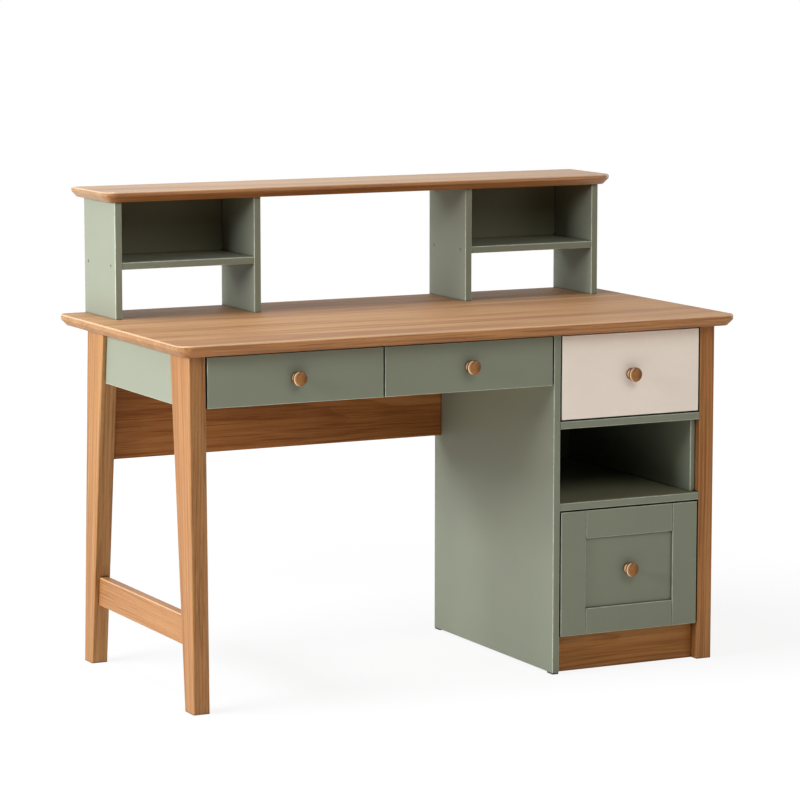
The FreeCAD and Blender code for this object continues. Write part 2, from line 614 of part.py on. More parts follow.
def make_box_sides(name, plan):
    """The drawer box's two sides, each with a groove for the bottom."""
    body = new_body(name + "_sides", (plan["middle"], FRONT_BACK, plan["box_low"]))
    sketch = new_sketch(body, "XZ_Plane")
    outside = "(-%s)" % plan["half_box"]
    inside = "(Dims.box_thickness - %s)" % plan["half_box"]
    groove = "(%s - Dims.groove_depth)" % inside
    groove_top = "(Dims.groove_lift + %s)" % GROOVE_HEIGHT
    draw_loop(sketch, [
        (outside, "0"),
        (inside, "0"),
        (inside, "Dims.groove_lift"),
        (groove, "Dims.groove_lift"),
        (groove, groove_top),
        (inside, groove_top),
        (inside, plan["box_height"]),
        (outside, plan["box_height"]),
    ])
    add_pad(body, sketch, plan["box_depth"], backwards=True)
    mirror_body(body, "YZ_Plane")


def make_box_back(name, plan):
    """The drawer box's back, standing on the bottom between the sides."""
    half = "(%s - Dims.box_thickness)" % plan["half_box"]
    seat = "(Dims.groove_lift + Dims.bottom_thickness)"
    low = ("(%s - %s)" % (plan["middle"], half),
           "(%s + %s - Dims.box_thickness)" % (FRONT_BACK, plan["box_depth"]),
           "(%s + %s)" % (plan["box_low"], seat))
    size = ("(2 * %s)" % half, "Dims.box_thickness", "(%s - %s)" % (plan["box_height"], seat))
    make_board(name + "_back", low, size)


def make_box_bottom(name, plan, groove):
    """The drawer's bottom, slid into the grooves of the sides and, where there is one, of the front."""
    half = "(%s - Dims.box_thickness + Dims.groove_depth - Dims.groove_clearance)" % plan["half_box"]
    start = "(%s - %s)" % (FRONT_BACK, groove)
    low = ("(%s - %s)" % (plan["middle"], half), start, "(%s + Dims.groove_lift)" % plan["box_low"])
    size = ("(2 * %s)" % half, "(%s + %s)" % (plan["box_depth"], groove), "Dims.bottom_thickness")
    make_board(name + "_bottom", low, size)


def bore_for_knob(body, width, height, thickness):
    """The hole for the knob's screw, in the middle of a front or panel."""
    sketch = new_sketch(body, "XZ_Plane")
    centre = ("(%s / 2)" % width, "(%s / 2)" % height)
    draw_circle(sketch, centre, "(Dims.screw_radius + Dims.screw_clearance)")
    add_pocket(body, sketch, thickness)


def cut_groove(body, plan, half):
    """The groove behind a front that takes the front edge of the bottom."""
    sketch = new_sketch(body, "XY_Plane", "(Dims.box_lift + Dims.groove_lift)")
    left = "(%s - %s - %s)" % (plan["middle"], half, plan["front_left"])
    start = "(Dims.front_thickness - Dims.groove_depth)"
    draw_loop(sketch, box_corners(left, start, "(2 * %s)" % half, "Dims.groove_depth"))
    add_pocket(body, sketch, GROOVE_HEIGHT, backwards=True)


def make_plain_front(name, plan):
    """A flat inset drawer front with a groove for the bottom behind."""
    body = new_body(name + "_front", (plan["front_left"], FRONT, plan["low"]))
    sketch = new_sketch(body, "XY_Plane")
    draw_loop(sketch, box_corners("0", "0", plan["front_width"], "Dims.front_thickness"))
    pad = add_pad(body, sketch, plan["front_height"])
    face = edges_where(pad, lambda box: box.YMax < FLAT)
    add_fillet(body, pad, face, "Dims.front_round")
    half = "(%s - Dims.box_thickness + Dims.groove_depth)" % plan["half_box"]
    cut_groove(body, plan, half)
    bore_for_knob(body, plan["front_width"], plan["front_height"], "Dims.front_thickness")


def make_framed_front(name, plan):
    """The deep drawer's frame of two stiles and two rails, rebated for a panel."""
    low = (plan["front_left"], FRONT, plan["low"])
    body = new_body(name + "_front_frame", low)
    width = plan["front_width"]
    height = plan["front_height"]
    seat = "(Dims.frame_bar_width - Dims.rebate_width)"
    stiles = new_sketch(body, "XY_Plane")
    draw_loop(stiles, [
        ("0", "0"),
        ("Dims.frame_bar_width", "0"),
        ("Dims.frame_bar_width", "Dims.panel_recess"),
        (seat, "Dims.panel_recess"),
        (seat, "Dims.front_thickness"),
        ("0", "Dims.front_thickness"),
    ])
    draw_loop(stiles, [
        (width, "0"),
        (width, "Dims.front_thickness"),
        ("(%s - %s)" % (width, seat), "Dims.front_thickness"),
        ("(%s - %s)" % (width, seat), "Dims.panel_recess"),
        ("(%s - Dims.frame_bar_width)" % width, "Dims.panel_recess"),
        ("(%s - Dims.frame_bar_width)" % width, "0"),
    ])
    add_pad(body, stiles, height)
    lower_seat = "(Dims.lower_rail_height - Dims.rebate_width)"
    rails = new_sketch(body, "YZ_Plane", "(Dims.frame_bar_width + Dims.joint_gap)")
    draw_loop(rails, [
        ("0", "0"),
        ("Dims.front_thickness", "0"),
        ("Dims.front_thickness", lower_seat),
        ("Dims.panel_recess", lower_seat),
        ("Dims.panel_recess", "Dims.lower_rail_height"),
        ("0", "Dims.lower_rail_height"),
    ])
    draw_loop(rails, [
        ("0", height),
        ("0", "(%s - Dims.frame_bar_width)" % height),
        ("Dims.panel_recess", "(%s - Dims.frame_bar_width)" % height),
        ("Dims.panel_recess", "(%s - %s)" % (height, seat)),
        ("Dims.front_thickness", "(%s - %s)" % (height, seat)),
        ("Dims.front_thickness", height),
    ])
    pad = add_pad(body, rails, "(%s - 2 * Dims.frame_bar_width - 2 * Dims.joint_gap)" % width)
    face = edges_where(pad, lambda box: box.YMax < FLAT)
    add_fillet(body, pad, face, "Dims.front_round")


def make_front_panel(name, plan):
    """The flat panel behind the frame."""
    play = "(Dims.rebate_width - Dims.rebate_play)"
    reach = "(Dims.frame_bar_width - %s)" % play
    lower_reach = "(Dims.lower_rail_height - %s)" % play
    low = ("(%s + %s)" % (plan["front_left"], reach),
           "(%s + Dims.panel_recess)" % FRONT,
           "(%s + %s)" % (plan["low"], lower_reach))
    thickness = "(Dims.front_thickness - Dims.panel_recess)"
    width = "(%s - 2 * %s)" % (plan["front_width"], reach)
    height = "(%s - %s - %s)" % (plan["front_height"], reach, lower_reach)
    body = make_board(name + "_front_panel", low, (width, thickness, height))
    bore_for_knob(body, width, "(%s - 2 * %s)" % (plan["front_height"], lower_reach), thickness)


def draw_arc(sketch, start, through, end):
    """An arc between two tied points, drawn counter-clockwise and passing near a third."""
    points = [FreeCAD.Vector(number(x), number(y), 0) for x, y in (start, through, end)]
    arc = sketch.addGeometry(Part.Arc(*points), False)
    pin_point(sketch, arc, 1, start)
    pin_point(sketch, arc, 2, end)
    return arc


def draw_chain(sketch, corners):
    """An open run of straight lines through tied corners."""
    points = [FreeCAD.Vector(number(x), number(y), 0) for x, y in corners]
    for i in range(len(points) - 1):
        line = sketch.addGeometry(Part.LineSegment(points[i], points[i + 1]), False)
        pin_point(sketch, line, 1, corners[i])
        pin_point(sketch, line, 2, corners[i + 1])


def make_knob(name, plan, seat):
    """A turned wooden knob: foot, hollow neck, rim and domed head, bored for its screw."""
    body = new_body(name + "_knob", (plan["front_middle"], seat, plan["centre_height"]))
    sketch = new_sketch(body, "XY_Plane")
    bore = "(Dims.screw_radius + Dims.screw_thread_play)"
    foot = ("Dims.knob_base_radius", "(-Dims.knob_base_height)")
    waist = ("Dims.knob_neck_radius", "(-(Dims.knob_base_height + Dims.knob_rim_start) / 2)")
    rim_low = ("Dims.knob_head_radius", "(-Dims.knob_rim_start)")
    rim_high = ("Dims.knob_head_radius", "(-Dims.knob_rim_start - Dims.knob_rim_thickness)")
    top = "(-Dims.knob_rim_start - Dims.knob_rim_thickness - Dims.knob_dome_height)"
    shoulder = ("(Dims.knob_head_radius / 2)", top)
    crown = ("0", top)
    draw_chain(sketch, [crown, ("0", "(-Dims.knob_bore_depth)"), (bore, "(-Dims.knob_bore_depth)"),
                        (bore, "0"), ("Dims.knob_base_radius", "0"), foot])
    neck = draw_arc(sketch, foot, waist, rim_low)
    narrowest = sketch.addGeometry(Part.Point(FreeCAD.Vector(number(waist[0]), number(waist[1]), 0)), True)
    pin_point(sketch, narrowest, 1, waist)
    sketch.addConstraint(Sketcher.Constraint("PointOnObject", narrowest, 1, neck))
    draw_chain(sketch, [rim_low, rim_high])
    dome = draw_arc(sketch, crown, shoulder, rim_high)
    sketch.addConstraint(Sketcher.Constraint("PointOnObject", dome, 3, -2))
    turned = body.newObject("PartDesign::Revolution", name + "_knob_turning")
    turned.Profile = sketch
    turned.ReferenceAxis = (sketch, ["V_Axis"])
    turned.Angle = 360
    doc.recompute()
    reach = number("Dims.knob_head_radius") - FLAT
    lip = number(rim_low[1]) - FLAT
    behind = edges_where(turned, lambda box: box.XMax > reach and box.YLength < FLAT and box.YMin > lip)
    rounded = add_fillet(body, turned, behind, "Dims.knob_lip_round")
    ahead = edges_where(rounded, lambda box: box.XMax > reach and box.YLength < FLAT and box.YMax < lip
                        and box.YMin < number(rim_high[1]) + FLAT)
    add_fillet(body, rounded, ahead, "Dims.knob_rim_round")


def make_knob_screw(name, plan, seat, thickness):
    """The machine screw that holds the knob from inside the drawer."""
    body = new_body(name + "_knob_screw", (plan["front_middle"], seat, plan["centre_height"]))
    shank = new_sketch(body, "XZ_Plane", "Dims.screw_bite")
    draw_circle(shank, ("0", "0"), "Dims.screw_radius")
    add_pad(body, shank, "(Dims.screw_bite + %s)" % thickness, backwards=True)
    head = new_sketch(body, "XZ_Plane", "(-%s)" % thickness)
    draw_circle(head, ("0", "0"), "Dims.screw_head_radius")
    add_pad(body, head, "Dims.screw_head_height", backwards=True)


def make_drawers():
    """The four drawers with their knobs and runners."""
    make_cabinet_runners()
    for name, plan in DRAWERS.items():
        seat = FRONT
        thickness = "Dims.front_thickness"
        groove = "(Dims.groove_depth - Dims.groove_clearance)"
        if name == "deep_drawer":
            seat = "(%s + Dims.panel_recess)" % FRONT
            thickness = "(Dims.front_thickness - Dims.panel_recess)"
            groove = "0"
            make_framed_front(name, plan)
            make_front_panel(name, plan)
        else:
            make_plain_front(name, plan)
        make_box_sides(name, plan)
        make_box_back(name, plan)
        make_box_bottom(name, plan, groove)
        make_knob(name, plan, seat)
        make_knob_screw(name, plan, seat, thickness)
        full_extension = plan in (UPPER, DEEP)
        make_drawer_members(name, plan, 2 if full_extension else 1)
        if full_extension:
            make_middle_members(name, plan)


def bore_for_shelf_screws(body, low, face, radius, depth):
    """Two holes at the shelf's middle height, from the left face or, where face is given, from that one."""
    sketch = new_sketch(body, "YZ_Plane", face)
    height = "(%s + Dims.hutch_shelf_thickness / 2 - %s)" % (HUTCH_SHELF_LOW, low[1])
    for place in SCREW_PLACES:
        draw_circle(sketch, ("(%s - %s)" % (place, low[0]), height), radius)
    add_pocket(body, sketch, depth, backwards=face is None)


def make_hutch_side(label, left, screw_face):
    """An upright board of the hutch, drilled for the shelf screws, whose heads sink into one face."""
    low = (HUTCH_FRONT_FACE, "Dims.desk_height")
    size = ("Dims.panel_thickness", "Dims.hutch_depth", HUTCH_SIDE_HEIGHT)
    body = make_board(label, (left,) + low, size, "Z")
    head = "(Dims.shelf_screw_head_radius + Dims.shelf_screw_play)"
    sink = "(Dims.shelf_screw_sink + Dims.shelf_screw_head_height)"
    bore_for_shelf_screws(body, low, None, SHELF_SCREW_BORE, "Dims.panel_thickness")
    bore_for_shelf_screws(body, low, screw_face, head, sink)


def make_hutch_shelf(label, middle):
    """A hutch shelf between two sides, drilled in its ends."""
    left = "(%s - %s / 2)" % (middle, CUBBY_INSIDE)
    front = "(%s + Dims.hutch_shelf_inset)" % HUTCH_FRONT_FACE
    depth = "(Dims.hutch_depth - Dims.hutch_shelf_inset - Dims.hutch_back_inset)"
    size = (CUBBY_INSIDE, depth, "Dims.hutch_shelf_thickness")
    body = make_board(label, (left, front, HUTCH_SHELF_LOW), size, "X")
    reach = "(Dims.shelf_screw_length - Dims.panel_thickness + Dims.shelf_screw_sink)"
    for face in (None, CUBBY_INSIDE):
        bore_for_shelf_screws(body, (front, HUTCH_SHELF_LOW), face, SHELF_SCREW_BORE, reach)


def make_shelf_screws():
    """The screws that hold the hutch shelves, two in each upright."""
    middle = "(-%s)" % CUBBY_MIDDLE
    height = "(%s + Dims.hutch_shelf_thickness / 2)" % HUTCH_SHELF_LOW
    body = new_body("hutch_shelf_screws", (middle, "0", height))
    face = "(Dims.shelf_screw_sink - Dims.cubby_width / 2)"
    for radius, length in (("Dims.shelf_screw_radius", "Dims.shelf_screw_length"),
                           ("Dims.shelf_screw_head_radius", "Dims.shelf_screw_head_height")):
        sketch = new_sketch(body, "YZ_Plane", face)
        for place in SCREW_PLACES:
            draw_circle(sketch, (place, "0"), radius)
        add_pad(body, sketch, length)
    mirror_body(body, "YZ_Plane")
    repeat_body(body, "X_Axis", "(2 * %s)" % CUBBY_MIDDLE)


def make_hutch():
    """The hutch: two cubbies under one long top."""
    inner = "(%s - Dims.cubby_width)" % HUTCH_HALF
    right_face = "Dims.panel_thickness"
    make_hutch_side("hutch_left_outer_side", "(-%s)" % HUTCH_HALF, None)
    make_hutch_side("hutch_left_inner_side", "(-%s - Dims.panel_thickness)" % inner, right_face)
    make_hutch_side("hutch_right_inner_side", inner, None)
    make_hutch_side("hutch_right_outer_side", "(%s - Dims.panel_thickness)" % HUTCH_HALF, right_face)
    shelf_top = "(%s + Dims.hutch_shelf_thickness)" % HUTCH_SHELF_LOW
    back_start = "(%s - Dims.hutch_back_inset - Dims.hutch_back_thickness)" % HUTCH_BACK_FACE
    under_top = "(Dims.desk_height + %s)" % HUTCH_SIDE_HEIGHT
    for side, middle in (("left", "(-%s)" % CUBBY_MIDDLE), ("right", CUBBY_MIDDLE)):
        make_hutch_shelf("hutch_%s_shelf" % side, middle)
        make_board("hutch_%s_back" % side, ("(%s - %s / 2)" % (middle, CUBBY_INSIDE), back_start, shelf_top),
                   (CUBBY_INSIDE, "Dims.hutch_back_thickness", "(%s - %s)" % (under_top, shelf_top)))
    make_shelf_screws()
    top_half = "(%s + Dims.hutch_top_side_overhang)" % HUTCH_HALF
    top_low = ("(-%s)" % top_half, "(%s - Dims.hutch_top_front_overhang)" % HUTCH_FRONT_FACE, under_top)
    top_depth = "(Dims.hutch_depth + Dims.hutch_top_front_overhang)"
    size = ("(2 * %s)" % top_half, top_depth, "Dims.hutch_top_thickness")
    make_edged_top("hutch_top", top_low, size)


def check_document():
    """Stops if anything failed to build."""
    doc.recompute()
    for item in doc.Objects:
        if "Invalid" in item.State or "Error" in item.State:
            raise ValueError("%s is %s" % (item.Label, item.State))
    for body in subparts:
        if body.Shape.isNull() or not body.Shape.isValid():
            raise ValueError(body.Label + " has no valid shape")


def export_subparts():
    """Writes one STEP file for each sub-part."""
    os.makedirs("parts", exist_ok=True)
    for body in subparts:
        body.Shape.exportStep("parts/%s.step" % body.Label)
        print("%-28s %d solid(s) %12.1f mm3" % (body.Label, len(body.Shape.Solids), body.Shape.Volume))


make_worktop()
make_left_frame()
make_back_apron()
make_divider()
make_pedestal()
make_drawers()
make_hutch()
check_document()
export_subparts()
print(len(subparts), "sub-parts")
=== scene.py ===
import math

import bpy
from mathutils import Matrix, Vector


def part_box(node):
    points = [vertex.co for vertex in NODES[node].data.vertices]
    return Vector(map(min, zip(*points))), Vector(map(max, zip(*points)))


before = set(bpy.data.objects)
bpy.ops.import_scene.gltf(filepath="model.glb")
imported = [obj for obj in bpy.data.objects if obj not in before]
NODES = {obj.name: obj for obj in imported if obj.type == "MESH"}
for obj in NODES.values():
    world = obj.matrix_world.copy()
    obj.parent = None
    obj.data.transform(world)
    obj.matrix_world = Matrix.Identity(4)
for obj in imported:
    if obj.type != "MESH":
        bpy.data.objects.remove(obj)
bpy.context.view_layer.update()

# ---------------------------------------------------------------- camera

CAMERA_PLACE = (-3.2634, -6.5064, 1.5652)
CAMERA_TURN = (math.radians(90 - 7.828), 0, math.radians(-26.674))
LENS_MM = 154.33
SENSOR_MM = 36
CLIP_END = 200

# ---------------------------------------------------------------- colours, linear

OAK_DARK = (0.25, 0.095, 0.03, 1)
OAK_MIDDLE = (0.37, 0.16, 0.057, 1)
OAK_LIGHT = (0.47, 0.225, 0.095, 1)
# the colour of the painted highlight on the rounded edges of oak boards
OAK_EDGE_HIGHLIGHT = (0.56, 0.3, 0.13, 1)
# the colour of the painted highlight on the upper rounds of the oak
OAK_ARRIS_HIGHLIGHT = (0.85, 0.6, 0.38, 1)
PORE = (0.14, 0.05, 0.018, 1)
KNOB_TINT = (0.84, 0.8, 0.54)
# the colour of the painted shade on the right and the sides of each knob
KNOB_SHADE_COLOUR = (0.09, 0.035, 0.012, 1)
# the colour of the painted highlight on the left of each knob's front rim
KNOB_RIM_HIGHLIGHT = (0.95, 0.7, 0.46, 1)
GREEN = (0.228, 0.244, 0.18)
# the colour of the painted highlight on the rounded edges of green boards
GREEN_EDGE_HIGHLIGHT = (0.6, 0.64, 0.52)
# the colour of the painted shade on green faces that look into a recess
GREEN_RECESS_SHADE = (0.18, 0.172, 0.108, 1)
CREAM = (0.92, 0.815, 0.71)
# the colour of the painted highlight on the rounded edges of cream boards
CREAM_EDGE_HIGHLIGHT = (0.93, 0.87, 0.78)
BIRCH_DARK = (0.52, 0.35, 0.2, 1)
BIRCH_LIGHT = (0.72, 0.55, 0.36, 1)
GLUE_LINE = (0.3, 0.17, 0.085, 1)
# the near-black of the painted shade in gaps and corners
GAP_SHADE_COLOUR = (0.02, 0.014, 0.008, 1)
ZINC_DARK = (0.33, 0.34, 0.36, 1)
ZINC_LIGHT = (0.56, 0.56, 0.55, 1)
SCREW_DARK = (0.07, 0.072, 0.06)
SCREW_LIGHT = (0.2, 0.205, 0.17)
GLIDE_DARK = (0.012, 0.012, 0.012)
GLIDE_LIGHT = (0.05, 0.05, 0.048)

# ---------------------------------------------------------------- grain, film, painted highlights and painted shade

# noise scales per metre: along the grain, then across it
OAK_DRIFT = (0.9, 5, 5)
OAK_WOBBLE = (5, 40, 40)
OAK_PATCH = (1.1, 24, 24)
OAK_BAND = (0.8, 13, 13)
OAK_STREAK = (1.7, 62, 62)
OAK_LINE = (3.5, 300, 300)
OAK_FIBRE = (9, 620, 620)
OAK_VESSEL = (34, 1500, 1500)
BIRCH_FLAME = (1.4, 26, 26)
BIRCH_FIBRE = (12, 600, 600)
BIRCH_FLECK = (40, 300, 300)
BIRCH_GRIT = (900, 900, 900)
# noise scales per metre: along X, Y and Z
PAINT_CLOUD = (5, 5, 5)
PAINT_MOTTLE = (60, 60, 60)
PAINT_SCUFF = (90, 90, 90)
PAINT_PEEL = (750, 750, 750)
ZINC_LINES = (1400, 9, 1400)
ZINC_CLOUD = (55, 22, 55)
ZINC_SPECK = (420, 420, 420)
SCREW_MOTTLE = 300
GLIDE_MOTTLE = 120
GRIT_TO_MOTTLE = 9

# metres: how far a ring strays, two plies together, how far off a gap's other side may be for the painted
# shade in gaps, depths of bumps
DRIFT_REACH = 0.05
WOBBLE_REACH = 0.004
PLY_PAIR = 0.003
GAP_SHADE_REACH = 0.008
GRAIN_DEPTH = 0.00005
PAINT_DEPTH = 0.00003
PLY_DEPTH = 0.00006
ZINC_DEPTH = 0.00002
MOTTLE_DEPTH = 0.00003

# the largest part of a normal: above the first it is a flat face, below the second the middle of a round
FLAT_FACING = 0.99
ROUND_FACING = 0.93
# how far a normal lies along the grain: below the first it is a long face, above the second end grain
LONG_FACING = 0.45
END_FACING = 0.8
# ambient occlusion for the painted shade in gaps: above the first it is in the open, below the second deep in
# a gap
AO_OPEN = 0.85
AO_DEEP = 0.25

# strengths, roughness and specular levels, as shares of 1
# how dark the painted shade in gaps and corners gets
GAP_SHADE_STRENGTH = 0.92
# how strong the painted highlight on the upper rounds is
ARRIS_HIGHLIGHT_STRENGTH = 0.3
PORE_STRENGTH = 0.45
GLUE_STRENGTH = 0.7
END_GRAIN_CONTRAST = 0.45
END_GRAIN_TONE = 0.15
OAK_ROUGH = 0.38
UPPER_ROUND_POLISH = 0.28
PAINT_ROUGH = 0.36
PLY_ROUGH = 0.42
ZINC_ROUGH = 0.24
PAINT_GLOSS = 0.1
PLY_GLOSS = 0.3

# the turned knobs: way of the grain, from a knob's middle to the heart of its tree, width of a ring in metres
KNOB_WAY = (0.7, 0.25, 0.7)
KNOB_TO_HEART = Vector((0.05, 0, -0.05))
KNOB_RING = 0.0035
KNOB_CONTRAST = 1.5
# the knobs' share of the painted shade in gaps
KNOB_GAP_SHADE = 0.5
KNOB_GLOSS = 0.18
KNOB_POLISH_ROUGH = 0.62
KNOB_SHADE = 0.6
KNOB_SIDE_SHADE = 0.4


# the Mix node's sockets for colours, whose names it also gives to its sockets for numbers
MIX_FIRST = 6
MIX_SECOND = 7
MIX_RESULT = 2


class Graph:
    """Adds nodes to a tree."""

    def __init__(self, tree):
        self.tree = tree

    def add(self, kind, inputs=None, **settings):
        """A node with its settings; an input is a value, or a socket to link from."""
        node = self.tree.nodes.new("ShaderNode" + kind)
        for name, value in settings.items():
            setattr(node, name, value)
        for name, value in (inputs or {}).items():
            socket = node.inputs[name]
            if isinstance(value, bpy.types.NodeSocket):
                self.tree.links.new(value, socket)
            else:
                socket.default_value = value
        return node

    def noise(self, vector, scale, detail=2.0, roughness=0.5):
        """Noise of about 0 to 1, at a scale per metre along each axis."""
        scaled = self.add("VectorMath", {0: vector, 1: scale}, operation="MULTIPLY")
        texture = self.add("TexNoise", {"Vector": scaled.outputs[0], "Scale": 1.0, "Detail": detail,
                                        "Roughness": roughness})
        return texture.outputs["Fac"]

    def math(self, operation, first, second=0.0, third=0.0):
        """One step of arithmetic."""
        return self.add("Math", {0: first, 1: second, 2: third}, operation=operation).outputs[0]

    def span(self, value, low, high, to_low=0.0, to_high=1.0, kind="SMOOTHSTEP"):
        """Maps a value from one range to another."""
        node = self.add("MapRange", {"Value": value, "From Min": low, "From Max": high,
                                     "To Min": to_low, "To Max": to_high}, interpolation_type=kind)
        return node.outputs["Result"]

    def blend(self, factor, first, second, kind="MIX"):
        """Mixes two colours."""
        node = self.add("Mix", {"Factor": factor}, data_type="RGBA", blend_type=kind)
        for index, value in ((MIX_FIRST, first), (MIX_SECOND, second)):
            if isinstance(value, bpy.types.NodeSocket):
                self.tree.links.new(value, node.inputs[index])
            else:
                node.inputs[index].default_value = value
        return node.outputs[MIX_RESULT]

    def ramp(self, factor, stops):
        """A colour ramp through (position, colour) stops."""
        node = self.add("ValToRGB", {"Fac": factor})
        elements = node.color_ramp.elements
        for element, (position, colour) in zip(elements, stops):
            element.position = position
            element.color = colour
        for position, colour in stops[2:]:
            elements.new(position).color = colour
        return node.outputs["Color"]


def new_group(name, inputs, outputs):
    """A node group with its sockets; returns its graph, and its input and output nodes."""
    tree = bpy.data.node_groups.new(name, "ShaderNodeTree")
    for label, kind, default in inputs:
        socket = tree.interface.new_socket(label, in_out="INPUT", socket_type="NodeSocket" + kind)
        if default is not None:
            socket.default_value = default
    for label, kind in outputs:
        tree.interface.new_socket(label, in_out="OUTPUT", socket_type="NodeSocket" + kind)
    return Graph(tree), tree.nodes.new("NodeGroupInput"), tree.nodes.new("NodeGroupOutput")


def edge_mask(graph):
    """How far a point lies on a rounded edge: 0 on the flat faces, 1 in the middle of the round."""
    normal = graph.add("TexCoord").outputs["Normal"]
    size = graph.add("VectorMath", {0: normal}, operation="ABSOLUTE")
    parts = graph.add("SeparateXYZ", {0: size.outputs[0]})
    most = graph.math("MAXIMUM", graph.math("MAXIMUM", parts.outputs[0], parts.outputs[1]), parts.outputs[2])
    return graph.span(most, FLAT_FACING, ROUND_FACING)


def upper_round(graph):
    """1 on the round between a top face and the edge below it, 0 elsewhere."""
    normal = graph.add("SeparateXYZ", {0: graph.add("TexCoord").outputs["Normal"]})
    up = normal.outputs[2]
    return graph.math("MULTIPLY", graph.span(up, 0.1, 0.3), graph.span(up, FLAT_FACING, 0.95))


def gap_shade(graph):
    """Painted shade in gaps and corners, by how deep a point lies in them: 0 in the open, up to its set
    strength in a narrow gap.
    """
    occlusion = graph.add("AmbientOcclusion", {"Distance": GAP_SHADE_REACH}, samples=8)
    return graph.span(occlusion.outputs["AO"], AO_OPEN, AO_DEEP, 0.0, GAP_SHADE_STRENGTH)


def late_wood(graph, vector, ring_width):
    """The dark end of the growth rings, which lie round the X axis and are bent by slow noise."""
    drift = graph.noise(vector, OAK_DRIFT, 2)
    wobble = graph.noise(vector, OAK_WOBBLE, 2)
    parts = graph.add("SeparateXYZ", {0: vector})
    across = graph.add("CombineXYZ", {1: parts.outputs[1], 2: parts.outputs[2]})
    radius = graph.add("VectorMath", {0: across.outputs[0]}, operation="LENGTH").outputs["Value"]
    bent = graph.math("MULTIPLY_ADD", drift, DRIFT_REACH, radius)
    bent = graph.math("MULTIPLY_ADD", wobble, WOBBLE_REACH, bent)
    phase = graph.math("FRACT", graph.math("DIVIDE", bent, ring_width))
    late = graph.math("MULTIPLY", graph.span(phase, 0.4, 0.9), graph.span(phase, 1.0, 0.93))
    strength = graph.span(graph.noise(vector, OAK_PATCH, 2), 0.35, 0.65, 0.3, 1.0)
    return graph.math("MULTIPLY", late, strength)


def end_grain(graph, way):
    """1 where a face cuts across the grain, 0 on the long faces."""
    normal = graph.add("TexCoord").outputs["Normal"]
    facing = graph.add("VectorMath", {0: normal, 1: way}, operation="DOT_PRODUCT")
    return graph.span(graph.math("ABSOLUTE", facing.outputs["Value"]), LONG_FACING, END_FACING)


def board_finish(graph, given, colour, end, streak):
    """The colour of oak with its board's tint, banded edges, painted highlights on its upper rounds and
    rounded edges, and painted shade in its gaps.
    """
    colour = graph.blend(1.0, colour, given.outputs["Tint"], "MULTIPLY")
    up = graph.add("SeparateXYZ", {0: graph.add("TexCoord").outputs["Normal"]}).outputs[2]
    banded = graph.math("MULTIPLY", graph.span(up, 0.9, 0.6), graph.math("SUBTRACT", 1.0, end))
    colour = graph.blend(banded, colour, graph.blend(1.0, colour, given.outputs["Edge Tint"], "MULTIPLY"))
    # a painted highlight on the upper rounds
    arris_highlight = graph.math("MULTIPLY", upper_round(graph), given.outputs["Arris Highlight"])
    colour = graph.blend(arris_highlight, colour, OAK_ARRIS_HIGHLIGHT)
    # a painted highlight on the rounded edges, patchy along the streaks
    highlit_edge = graph.math("MULTIPLY", edge_mask(graph), given.outputs["Edge Highlight"])
    highlit_edge = graph.math("MULTIPLY", highlit_edge, graph.span(streak, 0.0, 1.0, 0.6, 1.0))
    colour = graph.blend(highlit_edge, colour, OAK_EDGE_HIGHLIGHT)
    # painted shade in gaps and corners
    return graph.blend(graph.math("MULTIPLY", gap_shade(graph), given.outputs["Gap Shade"]), colour, GAP_SHADE_COLOUR)


